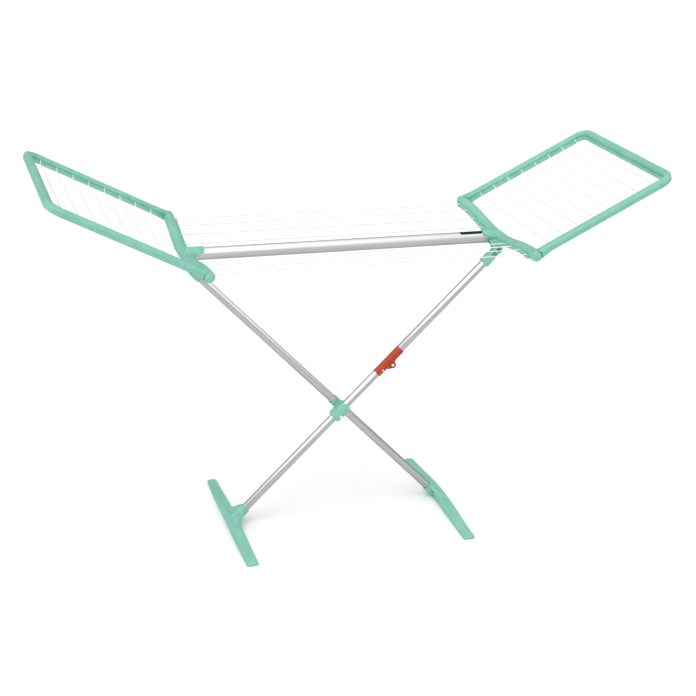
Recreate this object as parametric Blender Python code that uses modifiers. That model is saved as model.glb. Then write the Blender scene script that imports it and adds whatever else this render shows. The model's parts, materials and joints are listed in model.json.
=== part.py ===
"""Folding clothes drying rack.

An aluminium beam joins two arched crossbars, with drying lines strung between them. A wing
with its own lines is hinged to each crossbar and folds inward over the beam. Two crossed legs
hang from the crossbars: leg A is one tube, and leg B breaks at a knee so that the cross can
fold up under the beam. Each leg ends in a T-shaped foot.

Metres, +Z up. X runs along the beam, Y runs across it, and the feet stand on z = 0.
"""
import math

import bmesh
import bpy
from mathutils import Matrix, Vector

# ---- driving sizes ----
HALF_SPAN = 0.500        # hinge lines of the wings, from the middle of the rack
BEAM_Z = 0.920           # axis of the beam
BEAM_R = 0.019
BEAM_WALL = 0.0014
LABEL_X = 0.410          # a plain label lies on top of the beam, near its right end
LABEL_Y = -0.0043
LABEL_LONG = 0.072
LABEL_WIDE = 0.0145
LABEL_THICK = 0.0004
GAP = 0.0003             # clearance between pieces that touch

BAR_HALF = 0.2835        # crossbar ends, where the hinge caps begin
BAR_ARCH = 0.2780        # where the crossbar levels out at its ends
BAR_RISE = 0.031         # how far the crossbar ends stand above the beam axis
BAR_BULGE = 0.009        # how far the crossbar's middle bows outward
TONGUE_TIP = 0.050       # the beam socket's reach over the beam, from the hinge line
TONGUE_ROOT = 0.017      # its reach under the beam
SOCKET_WALL = 0.0035
BAR_WIDE = 0.034
BAR_TALL = 0.029
BAR_LIP = 0.0225         # from the crossbar's centre line to the face of its inner lip
HINGE_Z = BEAM_Z + BAR_RISE
CAP_R = 0.017
CAP_END = 0.3025         # where the cap's dome begins

WING_TILT = math.radians(26.9)
WING_REACH = 0.4845      # hinge line to the centre of the wing's end rail
RAIL_Y = 0.2955
RAIL_WIDE = 0.024
RAIL_TALL = 0.024
RAIL_LIFT = 0.002        # rail centre above the hinge line, square to the wing
CORNER_R = 0.036

LINE_R = 0.0015
BEAD_R = 0.0021
MAIN_LINE_Y = (0.088, 0.151, 0.214, 0.274)
LINES_PER_WING = 8
WING_LINE_FIRST = 0.0640
WING_LINE_STEP = 0.0533

PIVOT_Z = 0.882          # leg pivots, straight below the crossbars
CROSS_Z = 0.374          # where the legs cross, in the middle of the rack
LEG_R = 0.0125
LEG_WALL = 0.0012
LEG_Y = 0.016            # leg A lies at +LEG_Y and leg B at -LEG_Y
LEG_START = 0.034        # from the pivot to the tube's upper end
KNEE_AT = 0.498          # from the pivot to the knee's seam, along leg B
KNEE_OFFSET = 0.0175     # from the leg's axis to the knee pin
KNEE_HALF = 0.055
KNEE_STOP = 0.0120       # from the seam to each tube's end
KNEE_R = 0.0143
KNUCKLE_R = 0.0106

FOOT_X = 0.3576
FOOT_HALF = 0.294
FOOT_WIDE = 0.038
FOOT_TALL = 0.018        # depth of the bar in its middle
FOOT_TIP = 0.010         # its depth at the ends
FOOT_RISE = 0.008        # how far its middle stands off the floor
FOOT_FLAT = 0.052        # length of each level end, which is the sole
LEG_END_X = 0.350        # x of each leg tube's lower end
SOCKET_TOP_A = 0.020     # how far each foot's socket reaches up its leg, from the tube's end
SOCKET_TOP_B = 0.043
SOCKET_FLOOR = 0.006     # how far the socket goes on past the tube's end

LEG_SLOPE = math.atan2(PIVOT_Z - CROSS_Z, HALF_SPAN)
LEG_LEAN = math.pi / 2 - LEG_SLOPE
PIVOT_TO_CROSS = math.hypot(HALF_SPAN, PIVOT_Z - CROSS_Z)
PIVOT_TO_END = (HALF_SPAN + LEG_END_X) / math.cos(LEG_SLOPE)

MINT = (0.33, 0.66, 0.56)
RED = (0.62, 0.10, 0.05)
ALUMINIUM = (0.80, 0.81, 0.82)
STEEL = (0.62, 0.63, 0.65)
WHITE = (0.88, 0.88, 0.86)
BLACK = (0.02, 0.02, 0.02)
TURN = {"X": (0, math.pi / 2, 0), "Y": (-math.pi / 2, 0, 0), "Z": (0, 0, 0)}


# ---- scene and materials ----
def clear_scene():
    for old in list(bpy.data.objects):
        bpy.data.objects.remove(old)


def collection(name):
    made = bpy.data.collections.new(name)
    bpy.context.scene.collection.children.link(made)
    return made


def material(name, colour, roughness, metallic=0.0):
    made = bpy.data.materials.new(name)
    made.use_nodes = True
    shader = made.node_tree.nodes["Principled BSDF"]
    shader.inputs["Base Color"].default_value = (*colour, 1)
    shader.inputs["Roughness"].default_value = roughness
    shader.inputs["Metallic"].default_value = metallic
    return made


def plastic(name, colour=MINT):
    return material(name, colour, 0.45)


def metal(name, colour=ALUMINIUM):
    return material(name, colour, 0.3, 1.0)


clear_scene()
PARTS = collection("clothes_drying_rack")
CUTTERS = collection("cutters")


# ---- modelling helpers ----
def add(name, mesh, centre=(0, 0, 0), turn=(0, 0, 0), parent=None, look=None):
    """Place a mesh as a part when it has a look, and as a hidden tool when it has none."""
    made = bpy.data.objects.new(name, mesh)
    made.location = centre
    made.rotation_euler = turn
    if parent:
        made.parent = parent
        made.matrix_parent_inverse = Matrix.Translation(parent["start"])
    if look:
        mesh.materials.clear()
        mesh.materials.append(look)
        PARTS.objects.link(made)
    else:
        made.hide_render = True
        made.display_type = "WIRE"
        CUTTERS.objects.link(made)
    return made


def empty(name, matrix, start=(0, 0, 0)):
    """An empty to move a body by. start is where the body's own coordinates begin, seen from it."""
    made = bpy.data.objects.new(name, None)
    made.matrix_world = matrix
    made["start"] = start
    CUTTERS.objects.link(made)
    return made


def mesh_from(name, work):
    mesh = bpy.data.meshes.new(name)
    work.to_mesh(mesh)
    work.free()
    mesh.shade_smooth()
    mesh.set_sharp_from_angle(angle=math.radians(35))
    return mesh


def box_mesh(name, size):
    work = bmesh.new()
    bmesh.ops.create_cube(work, size=1)
    bmesh.ops.scale(work, vec=size, verts=work.verts)
    return mesh_from(name, work)


def rod_mesh(name, radius, length, sides=32, capped=True):
    work = bmesh.new()
    bmesh.ops.create_cone(work, cap_ends=capped, segments=sides, radius1=radius, radius2=radius, depth=length)
    return mesh_from(name, work)


def box(name, size, centre, **where):
    return add(name, box_mesh(name, size), centre, **where)


def rod(name, radius, length, centre, axis="Z", sides=32, **where):
    return add(name, rod_mesh(name, radius, length, sides), centre, TURN[axis], **where)


def pipe(name, radius, wall, length, centre, axis="Z", **where):
    """An open tube: a cylinder wall, thickened inward."""
    made = add(name, rod_mesh(name, radius, length, 40, capped=False), centre, TURN[axis], **where)
    thick = made.modifiers.new("wall", "SOLIDIFY")
    thick.thickness = wall
    thick.offset = -1
    return made


def turned(name, profile, centre, axis="Z", sides=28, **where):
    """A solid turned about its own Z, from (radius, height) pairs that run top to bottom."""
    work = bmesh.new()
    ring = profile[0] == profile[-1]
    corners = [work.verts.new((radius, 0, height)) for radius, height in (profile[:-1] if ring else profile)]
    for first, second in zip(corners, corners[1:]):
        work.edges.new((first, second))
    if ring:
        work.edges.new((corners[-1], corners[0]))
    made = add(name, mesh_from(name, work), centre, TURN[axis], **where)
    screw = made.modifiers.new("turn", "SCREW")
    screw.steps = sides
    screw.render_steps = sides
    screw.use_merge_vertices = True
    screw.merge_threshold = 0.00001
    screw.use_smooth_shade = True
    return made


def curve_to_mesh(name, curve):
    """Turn a curve into a closed mesh: its loose caps are welded on, and the curve is dropped."""
    guide = bpy.data.objects.new(name + "_curve", curve)
    CUTTERS.objects.link(guide)
    bpy.context.view_layer.update()
    evaluated = guide.evaluated_get(bpy.context.evaluated_depsgraph_get())
    rough = bpy.data.meshes.new_from_object(evaluated)
    work = bmesh.new()
    work.from_mesh(rough)
    bmesh.ops.remove_doubles(work, verts=work.verts, dist=0.00001)
    bmesh.ops.recalc_face_normals(work, faces=work.faces)
    bpy.data.objects.remove(guide)
    return mesh_from(name, work)


def poly_spline(curve, points, closed):
    spline = curve.splines.new("POLY")
    spline.points.add(len(points) - 1)
    for knot, point in zip(spline.points, points):
        knot.co = (*Vector(point).to_3d(), 1)
    spline.use_cyclic_u = closed


def swept(name, outline, route, **where):
    """Sweep a closed outline along a route. Outline x points to the right of travel, y up."""
    section = bpy.data.curves.new(name + "_section", "CURVE")
    section.dimensions = "2D"
    section.fill_mode = "NONE"
    poly_spline(section, outline, closed=True)
    section_object = bpy.data.objects.new(name + "_section", section)
    CUTTERS.objects.link(section_object)
    path = bpy.data.curves.new(name + "_path", "CURVE")
    path.dimensions = "3D"
    path.bevel_mode = "OBJECT"
    path.bevel_object = section_object
    path.use_fill_caps = True
    path.twist_mode = "Z_UP"
    poly_spline(path, route, closed=False)
    mesh = curve_to_mesh(name, path)
    bpy.data.objects.remove(section_object)
    return add(name, mesh, **where)


def plate(name, outline, thickness, centre, axis="Z", **where):
    """A flat outline with a thickness, centred on its own plane."""
    flat = bpy.data.curves.new(name + "_outline", "CURVE")
    flat.dimensions = "2D"
    flat.fill_mode = "BOTH"
    flat.extrude = thickness / 2
    poly_spline(flat, outline, closed=True)
    turn = (math.pi / 2, 0, 0) if axis == "Y" else (0, 0, 0)
    return add(name, curve_to_mesh(name, flat), centre, turn, **where)


def boolean(target, tool, operation):
    change = target.modifiers.new(tool.name, "BOOLEAN")
    change.operation = operation
    change.object = tool
    change.solver = "EXACT"


def join(target, *tools):
    for tool in tools:
        boolean(target, tool, "UNION")


def cut(target, *tools):
    for tool in tools:
        boolean(target, tool, "DIFFERENCE")


def keep(target, tool):
    boolean(target, tool, "INTERSECT")


def round_edges(target, width, segments=2, angle=40):
    bevel = target.modifiers.new("round edges", "BEVEL")
    bevel.width = width
    bevel.segments = segments
    bevel.limit_method = "ANGLE"
    bevel.angle_limit = math.radians(angle)
    return bevel


def arc(radius, start, end, steps, centre=(0, 0)):
    """Points on an arc, from one angle to the other, in degrees."""
    points = []
    for step in range(steps + 1):
        angle = math.radians(start + (end - start) * step / steps)
        points.append((centre[0] + radius * math.cos(angle), centre[1] + radius * math.sin(angle)))
    return points


def rounded_outline(wide, tall, top_r, bottom_r, steps=3):
    """A rectangle about the origin, counter-clockwise, with its own top and bottom corner radii."""
    x, y = wide / 2, tall / 2
    return (arc(bottom_r, -90, 0, 1, (x - bottom_r, -y + bottom_r))
            + arc(top_r, 0, 90, steps, (x - top_r, y - top_r))
            + arc(top_r, 90, 180, steps, (-x + top_r, y - top_r))
            + arc(bottom_r, 180, 270, 1, (-x + bottom_r, -y + bottom_r)))


# ---- drying lines and the seats that hold their beads ----
SEAT_IN = 0.0045         # from the lip's face to the bead
BEAD_LONG = 0.0032
BEAD_PLAY = 0.0006
LIP_DROP = 0.0055        # lines below the centre of their rail or crossbar


def line(name, half_length, **where):
    """A drying line with a bead at each end, turned about its own length."""
    shoulder = half_length - BEAD_LONG
    profile = [(0, half_length), (BEAD_R, half_length), (BEAD_R, shoulder), (LINE_R, shoulder),
               (LINE_R, -shoulder), (BEAD_R, -shoulder), (BEAD_R, -half_length), (0, -half_length)]
    return turned(name, profile, sides=8, look=plastic(name, WHITE), **where)


def seat_mesh(name, reach):
    """A T-shaped slot, open downward, that takes a line's end and its bead. Mouth at +X."""
    neck, pocket = LINE_R + 0.0004, BEAD_R + 0.0006
    outline = [(reach, -neck), (reach, neck), (-SEAT_IN, neck), (-SEAT_IN, pocket),
               (-SEAT_IN - BEAD_LONG - 0.0012, pocket), (-SEAT_IN - BEAD_LONG - 0.0012, -pocket),
               (-SEAT_IN, -pocket), (-SEAT_IN, -neck)]
    depth = 0.016
    made = plate(name, outline, depth, (0, 0, 0))
    made.data.transform(Matrix.Translation((0, 0, LINE_R + 0.0008 - depth / 2)))
    return made


def cut_seats(target, name, places, parent=None):
    """Cut a seat at each (position, heading) of a line's end."""
    pattern = seat_mesh(name, 0.006)
    work = bmesh.new()
    for position, heading in places:
        start = len(work.verts)
        work.from_mesh(pattern.data)
        work.verts.ensure_lookup_table()
        turn = Matrix.Translation(position) @ Matrix.Rotation(heading, 4, "Z")
        bmesh.ops.transform(work, matrix=turn, verts=work.verts[start:])
    bpy.data.objects.remove(pattern)
    cut(target, add(name, mesh_from(name, work), parent=parent))


# ---- crossbars ----
def bar_centre(y):
    """The left crossbar's centre line: bowed outward, and rising to both ends."""
    share = min(abs(y) / BAR_ARCH, 1)
    x = -HALF_SPAN - BAR_BULGE * (1 - share ** 2)
    z = HINGE_Z - BAR_RISE * (1 + math.cos(math.pi * share)) / 2
    return Vector((x, y, z))


def bar_outline():
    """An oval with a lip on its inner lower side, where the lines hook in."""
    wide, tall = BAR_WIDE / 2, BAR_TALL / 2
    lip_top, lip_floor, lip_face = -0.0025, -0.0125, BAR_LIP
    oval = []
    for x, y in arc(1, -10, 302, 17):
        oval.append((x * wide, y * tall))
    lip = [(0.0200, lip_floor), (lip_face, lip_floor + 0.002), (lip_face, lip_top - 0.002), (0.0205, lip_top)]
    return oval + lip


def slant_box(name, root):
    """A block that trims the beam's socket to a tongue over the top of the beam."""
    half, socket_r = 0.040, BEAM_R + SOCKET_WALL
    slope = math.atan2(TONGUE_TIP - TONGUE_ROOT, 2 * socket_r)
    middle_x = -HALF_SPAN + (TONGUE_TIP + TONGUE_ROOT) / 2
    centre = (middle_x + half * math.cos(slope), 0, BEAM_Z - half * math.sin(slope))
    block = box(name + "_slant", (2 * half, 0.080, 0.120), centre, parent=root)
    block.rotation_euler = (0, slope, 0)
    return block


def crossbar(name, side):
    """side is -1 for the left crossbar, and 1 for the right one, which is turned half round."""
    root = empty(name + "_frame", Matrix.Rotation(0 if side < 0 else math.pi, 4, "Z"))
    steps = 20
    ys = [BAR_ARCH * (2 * step / steps - 1) for step in range(steps + 1)]
    route = [bar_centre(y) for y in [-BAR_HALF] + ys + [BAR_HALF]]
    bar = swept(name, bar_outline(), route, parent=root, look=plastic(name))

    socket_start, socket_end = bar_centre(0).x + 0.002, -HALF_SPAN + TONGUE_TIP
    socket = rod(name + "_socket", BEAM_R + SOCKET_WALL, socket_end - socket_start,
                 ((socket_start + socket_end) / 2, 0, BEAM_Z), "X", sides=40, parent=root)
    cut(socket, slant_box(name, root))
    join(bar, socket)

    ear = [(0.034, 0.036), (-0.0125, 0.036)] + arc(0.0125, 180, 340, 9) + [(0.026, 0.018)]
    for index, y in enumerate((LEG_Y - 0.0115, LEG_Y + 0.0115)):
        join(bar, plate(f"{name}_ear_{index}", ear, 0.004, (-HALF_SPAN, y, PIVOT_Z), "Y", parent=root))
    beam_bore = rod(name + "_beam_bore", BEAM_R + GAP, 0.100, (-HALF_SPAN + 0.052, 0, BEAM_Z), "X",
                    sides=40, parent=root)
    pivot_bore = rod(name + "_pivot_bore", 0.0033, 0.040, (-HALF_SPAN, LEG_Y, PIVOT_Z), "Y",
                     sides=16, parent=root)
    cut(bar, beam_bore, pivot_bore)
    for end in (-1, 1):
        cut(bar, rod(f"{name}_pin_bore_{end}", 0.0043, 0.050, (-HALF_SPAN, end * BAR_HALF, HINGE_Z), "Y",
                     sides=16, parent=root))
    faces = [bar_centre(y) + Vector((BAR_LIP, 0, -LIP_DROP)) for y in main_line_ys()]
    cut_seats(bar, name + "_seats", [(face, 0) for face in faces], root)


def main_line_ys():
    return [-y for y in reversed(MAIN_LINE_Y)] + list(MAIN_LINE_Y)


def main_lines():
    for number, y in enumerate(main_line_ys(), 1):
        face = bar_centre(y) + Vector((BAR_LIP, 0, -LIP_DROP))
        half_length = -face.x + SEAT_IN + BEAD_LONG + BEAD_PLAY
        line(f"main_line_{number}", half_length, centre=(0, y, face.z), axis="X")


def beam():
    beam_end = HALF_SPAN - 0.0025
    pipe("beam", BEAM_R, BEAM_WALL, 2 * beam_end, (0, 0, BEAM_Z), "X", look=metal("beam"))
    label = pipe("beam_label", BEAM_R + GAP + LABEL_THICK, LABEL_THICK, LABEL_LONG, (LABEL_X, 0, BEAM_Z), "X",
                 look=material("beam_label", BLACK, 0.5))
    window = box("label_window", (0.080, LABEL_WIDE, 0.030), (LABEL_X, LABEL_Y, BEAM_Z + 0.018))
    keep(label, window)


# ---- wings ----
def wing_frame_matrix(side):
    turn = Matrix.Rotation(0 if side > 0 else math.pi, 4, "Z")
    tilt = Matrix.Rotation(-WING_TILT, 4, "Y")
    return Matrix.Translation((side * HALF_SPAN, 0, HINGE_Z)) @ turn @ tilt


def rail_outline():
    """A rail with a round top, and a lip along its inner lower edge."""
    x, y = RAIL_WIDE / 2, RAIL_TALL / 2
    lip = [(x + 0.006, -y), (x + 0.0075, -y + 0.0015), (x + 0.0075, -y + 0.0075), (x + 0.006, -y + 0.009),
           (x, -y + 0.0105)]
    top = arc(0.009, 0, 90, 4, (x - 0.009, y - 0.009)) + arc(0.009, 90, 180, 4, (-x + 0.009, y - 0.009))
    return lip + top + arc(0.005, 180, 270, 3, (-x + 0.005, -y + 0.005))


def wing_route():
    """From one rail, round the end, and back along the other rail."""
    far, side_y, z = WING_REACH, RAIL_Y, RAIL_LIFT
    first = [(x, side_y, z) for x in (0.012, 0.160, 0.310)]
    turn_a = [(x, y, z) for x, y in arc(CORNER_R, 90, 0, 6, (far - CORNER_R, side_y - CORNER_R))]
    end = [(far, 0, z)]
    turn_b = [(x, y, z) for x, y in arc(CORNER_R, 0, -90, 6, (far - CORNER_R, -side_y + CORNER_R))]
    back = [(x, -side_y, z) for x in (0.310, 0.160, 0.012)]
    return first + turn_a + end + turn_b + back


def wing_line_x(number):
    return WING_LINE_FIRST + WING_LINE_STEP * number


def wing(side, word):
    hinge = empty(f"{word}_wing_hinge", wing_frame_matrix(side))
    frame = swept(f"{word}_wing_frame", rail_outline(), wing_route(), parent=hinge,
                  look=plastic(f"{word}_wing_frame"))
    places = []
    lip_face = RAIL_Y - RAIL_WIDE / 2 - 0.0075
    line_z = RAIL_LIFT - RAIL_TALL / 2 + 0.0045
    for number in range(LINES_PER_WING):
        places.append(((wing_line_x(number), lip_face, line_z), -math.pi / 2))
        places.append(((wing_line_x(number), -lip_face, line_z), math.pi / 2))
    cut_seats(frame, f"{word}_wing_seats", places, hinge)
    groove_r = CAP_R + 0.0016
    cut(frame, rod(f"{word}_groove", groove_r, 0.7, (0, 0, 0), "Y", sides=32, parent=hinge))

    for end in (-1, 1):
        place = "back" if end * side > 0 else "front"
        spigot = box(f"{word}_spigot_{place}", (0.022, 0.010, 0.009), (0.0185, end * RAIL_Y, 0), parent=hinge)
        join(frame, spigot)
        cap = hinge_cap(f"{word}_hinge_cap_{place}", end, hinge)
        pocket = box(f"{word}_pocket_{place}", (0.022, 0.010 + 2 * GAP, 0.009 + 2 * GAP),
                     (0.0185 - GAP, end * RAIL_Y, 0), parent=hinge)
        cut(cap, pocket)
        pin_middle = (side * HALF_SPAN, side * end * (BAR_HALF - 0.0035), HINGE_Z)
        rod(f"{word}_hinge_pin_{place}", 0.0040, 0.036, pin_middle, "Y", sides=20,
            look=metal(f"{word}_hinge_pin_{place}", STEEL))
    line_half = lip_face + SEAT_IN + BEAD_LONG + BEAD_PLAY
    for number in range(LINES_PER_WING):
        line(f"{word}_wing_line_{number + 1}", line_half, centre=(wing_line_x(number), 0, line_z), axis="Y",
             parent=hinge)


def hinge_cap(name, end, hinge):
    """A domed cap that turns on the hinge pin at the crossbar's end."""
    start, bore_r, bore_end = BAR_HALF + GAP, 0.0043, 0.2985
    dome = []
    for step in range(6):
        angle = math.pi / 2 * (1 - step / 5)
        dome.append((CAP_R * math.cos(angle), CAP_END + 0.94 * CAP_R * math.sin(angle)))
    profile = dome + [(CAP_R, start), (bore_r, start), (bore_r, bore_end), (0, bore_end)]
    cap = turned(name, profile, (0, 0, 0), "Y", sides=24, parent=hinge, look=plastic(name))
    if end < 0:
        cap.rotation_euler = (math.pi / 2, 0, 0)
    return cap


# ---- legs ----
def leg_pivot(side):
    """A frame at a leg's pivot, with -Z along the leg. side is -1 for leg A, whose pivot is left."""
    place = Matrix.Translation((side * HALF_SPAN, -side * LEG_Y, PIVOT_Z))
    return place @ Matrix.Rotation(side * LEG_LEAN, 4, "Y")


def leg_tube(name, start, end, parent):
    middle = (0, 0, -(start + end) / 2)
    return pipe(name, LEG_R, LEG_WALL, end - start, middle, parent=parent, look=metal(name))


def leg_fitting(name, parent):
    """The leg's upper end: an eye for the pivot, a flat neck, and a sleeve round the tube."""
    sleeve_r = LEG_R + 0.0018
    fitting = rod(name, sleeve_r, 0.034, (0, 0, -0.045), parent=parent, look=plastic(name))
    neck = box(name + "_neck", (0.025, 0.018, 0.034), (0, 0, -0.017), parent=parent)
    eye = rod(name + "_eye", 0.0125, 0.018, (0, 0, 0), "Y", parent=parent)
    join(fitting, neck, eye)
    bore = rod(name + "_bore", LEG_R + GAP, 0.040, (0, 0, -LEG_START - 0.020 + GAP), parent=parent)
    hole = rod(name + "_hole", 0.0033, 0.030, (0, 0, 0), "Y", sides=16, parent=parent)
    window = box(name + "_window", (0.009, 0.030, 0.008), (0, 0, -0.021), parent=parent)
    cut(fitting, bore, hole, window)


def pivot_pin(name, side):
    """A headed pin through the crossbar's ears and the leg's eye."""
    profile = [(0, 0.0165), (0.0042, 0.0160), (0.0055, 0.0140), (0.0030, 0.0138), (0.0030, -0.0138),
               (0.0055, -0.0140), (0.0042, -0.0160), (0, -0.0165)]
    turned(name, profile, (side * HALF_SPAN, -side * LEG_Y, PIVOT_Z), "Y", sides=20, look=metal(name, STEEL))


def cross_pieces(leg_a, leg_b):
    """The sleeve on leg A and the clip on leg B, face to face where the legs cross."""
    place = -PIVOT_TO_CROSS
    sleeve = rod("cross_sleeve_a", 0.0153, 0.050, (0, 0, place), parent=leg_a, look=plastic("cross_sleeve_a"))
    boss = rod("cross_sleeve_boss", 0.0120, 0.0140, (0, -LEG_Y + 0.0003 + 0.0070, place), "Y", parent=leg_a)
    join(sleeve, boss)
    cut(sleeve,
        rod("cross_sleeve_bore", LEG_R + GAP, 0.060, (0, 0, place), parent=leg_a),
        rod("cross_sleeve_hole", 0.0033, 0.060, (0, 0, place), "Y", sides=16, parent=leg_a))
    cut(bpy.data.objects["leg_tube_a"],
        rod("leg_a_rivet_hole", 0.0033, 0.060, (0, 0, place), "Y", sides=16, parent=leg_a))
    shank_end = -LEG_Y + 0.0006
    rivet = [(0, 0.0187), (0.0045, 0.0180), (0.0058, 0.0160), (0.0030, 0.0157), (0.0030, shank_end),
             (0, shank_end)]
    turned("cross_pin", rivet, (0, 0, place), "Y", sides=20, parent=leg_a, look=metal("cross_pin", STEEL))

    clip = box("cross_clip_b", (0.034, 0.0306, 0.068), (0, 0, place - 0.007), parent=leg_b,
               look=plastic("cross_clip_b"))
    round_edges(clip, 0.009, segments=3)
    cut(clip, rod("cross_clip_bore", LEG_R + GAP, 0.100, (0, 0, place), parent=leg_b))
    head_x, head_z, floor_y = 0.0070, place - 0.025, -0.0130
    cut(clip, rod("cross_clip_recess", 0.0062, 0.004, (head_x, floor_y - 0.002, head_z), "Y", sides=20,
                  parent=leg_b))
    head = [(0, 0.0030), (0.0035, 0.0026), (0.0052, 0.0010), (0.0052, 0), (0, 0)]
    rivet_head = turned("cross_rivet_head", head, (head_x, floor_y - GAP, head_z), "Y", sides=20,
                        parent=leg_b, look=metal("cross_rivet_head", STEEL))
    rivet_head.rotation_euler = (math.pi / 2, 0, 0)


def knee(leg_b_upper, leg_b_lower):
    """Two half sleeves that meet at the seam and turn about a pin beside the leg."""
    seam = -KNEE_AT
    cheek_y, cheek_wide, tongue_wide = 0.0088, 0.0044, 0.0126
    ring_r = KNUCKLE_R + 0.0005

    def half(name, way, parent, knuckle_places):
        middle = seam + way * (KNEE_HALF / 2 + GAP / 2)
        sleeve = rod(name, KNEE_R, KNEE_HALF - GAP, (0, 0, middle), parent=parent, look=plastic(name, RED))
        for index, (y, wide) in enumerate(knuckle_places):
            neck = [(0.004, way * 0.0005), (0.004, way * 0.027), (0.0130, way * 0.027)]
            round_part = arc(KNUCKLE_R, way * 50, way * -180, 14, (KNEE_OFFSET, 0))
            outline = neck + round_part
            join(sleeve, plate(f"{name}_neck_{index}", outline, wide, (0, y, seam), "Y", parent=parent))
        return sleeve

    upper = half("knee_upper", 1, leg_b_upper, [(0, tongue_wide)])
    lower = half("knee_lower", -1, leg_b_lower, [(-cheek_y, cheek_wide), (cheek_y, cheek_wide)])
    for index, y in enumerate((-cheek_y - 0.004, cheek_y + 0.004)):
        cut(upper, rod(f"knee_upper_clear_{index}", ring_r, cheek_wide + 0.0086, (KNEE_OFFSET, y, seam), "Y",
                       sides=40, parent=leg_b_upper))
    cut(lower, rod("knee_lower_clear", ring_r, 0.0132, (KNEE_OFFSET, 0, seam), "Y", sides=40,
                   parent=leg_b_lower))
    for sleeve, way, parent in ((upper, 1, leg_b_upper), (lower, -1, leg_b_lower)):
        bore_middle = seam + way * (KNEE_STOP - GAP + 0.030)
        cut(sleeve,
            rod(f"{sleeve.name}_bore", LEG_R + GAP, 0.060, (0, 0, bore_middle), parent=parent),
            rod(f"{sleeve.name}_hole", 0.0060, 0.050, (KNEE_OFFSET, 0, seam), "Y", sides=24, parent=parent))
    eyelet = [(0.0073, 0.0122), (0.0073, 0.0114), (0.0057, 0.0113), (0.0057, -0.0113), (0.0073, -0.0114),
              (0.0073, -0.0122), (0.0040, -0.0122), (0.0040, 0.0122), (0.0073, 0.0122)]
    turned("knee_eyelet", eyelet, (KNEE_OFFSET, 0, seam), "Y", sides=24, parent=leg_b_lower,
           look=metal("knee_eyelet"))
    dot = [(0, 0.0022), (0.0022, 0.0018), (0.0030, 0.0004), (0.0030, 0), (0, 0)]
    seat_y, rivet_z = -0.0130, seam - 0.033
    cut(lower, rod("knee_rivet_seat", 0.0040, 0.004, (0.002, seat_y - 0.002, rivet_z), "Y", sides=16,
                   parent=leg_b_lower))
    rivet = turned("knee_rivet", dot, (0.002, seat_y - GAP, rivet_z), "Y", sides=16, parent=leg_b_lower,
                   look=metal("knee_rivet"))
    rivet.rotation_euler = (math.pi / 2, 0, 0)


# ---- feet ----
def foot_outline():
    """The foot seen along X: level soles at both ends, an arch between them, and a humped top."""
    steps = 14
    arch_half = FOOT_HALF - FOOT_FLAT
    top, bottom = [], []
    for step in range(steps + 1):
        wave = (1 + math.cos(math.pi * (2 * step / steps - 1))) / 2
        bottom.append((arch_half * (2 * step / steps - 1), FOOT_RISE * wave))
        top.append((FOOT_HALF * (1 - 2 * step / steps), FOOT_TIP + (FOOT_RISE + FOOT_TALL - FOOT_TIP) * wave))
    return [(-FOOT_HALF, 0)] + bottom + [(FOOT_HALF, 0)] + top


def foot(name, side, leg, socket_top):
    """A T-shaped foot: an arched bar, a gusset, and a socket for the leg. side is its x sign."""
    bar = plate(name, foot_outline(), FOOT_WIDE, (side * FOOT_X, 0, 0), look=plastic(name))
    bar.parent = leg
    bar.matrix_parent_inverse = leg.matrix_world.inverted()
    bar.rotation_euler = (math.pi / 2, 0, math.pi / 2)
    round_edges(bar, 0.004, segments=2, angle=60)

    socket_r = LEG_R + 0.0045
    socket = rod(name + "_socket", socket_r, socket_top + SOCKET_FLOOR,
                 (0, 0, -PIVOT_TO_END + (socket_top - SOCKET_FLOOR) / 2), parent=leg)
    flare = []
    for step in range(7):
        share = step / 6
        height = (socket_top - 0.004) * (1 - share) - 0.004 * share
        flare.append((0.0160 + 0.054 * share ** 1.7, height))
    gusset = flare + [(-x, z) for x, z in reversed(flare)]
    web = plate(name + "_gusset", gusset, 0.014, (side * 0.007, 0, -PIVOT_TO_END), parent=leg)
    web.rotation_euler = (math.pi / 2, 0, math.pi / 2)
    join(bar, socket, web)
    bore = rod(name + "_bore", LEG_R + GAP, 0.080, (0, 0, -PIVOT_TO_END + 0.040 - GAP), parent=leg)
    cut(bar, bore)
    return bar


def legs():
    leg_a = empty("leg_a_pivot", leg_pivot(-1))
    leg_b_upper = empty("leg_b_pivot", leg_pivot(1))
    knee_pin = Matrix.Translation((KNEE_OFFSET, 0, -KNEE_AT))
    leg_b_lower = empty("knee_pivot", leg_pivot(1) @ knee_pin, start=(-KNEE_OFFSET, 0, KNEE_AT))
    bpy.context.view_layer.update()
    leg_tube("leg_tube_a", LEG_START, PIVOT_TO_END, leg_a)
    leg_tube("leg_tube_b_upper", LEG_START, KNEE_AT - KNEE_STOP, leg_b_upper)
    leg_tube("leg_tube_b_lower", KNEE_AT + KNEE_STOP, PIVOT_TO_END, leg_b_lower)
    leg_fitting("leg_fitting_a", leg_a)
    leg_fitting("leg_fitting_b", leg_b_upper)
    pivot_pin("leg_pin_a", -1)
    pivot_pin("leg_pin_b", 1)
    cross_pieces(leg_a, leg_b_lower)
    knee(leg_b_upper, leg_b_lower)
    foot("foot_a", 1, leg_a, SOCKET_TOP_A)
    foot("foot_b", -1, leg_b_lower, SOCKET_TOP_B)


# ---- the whole rack ----
crossbar("crossbar_left", -1)
crossbar("crossbar_right", 1)
beam()
main_lines()
wing(-1, "left")
wing(1, "right")
legs()
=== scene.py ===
import json
import math

import bmesh
import bpy
from mathutils import Matrix, Vector


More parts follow.
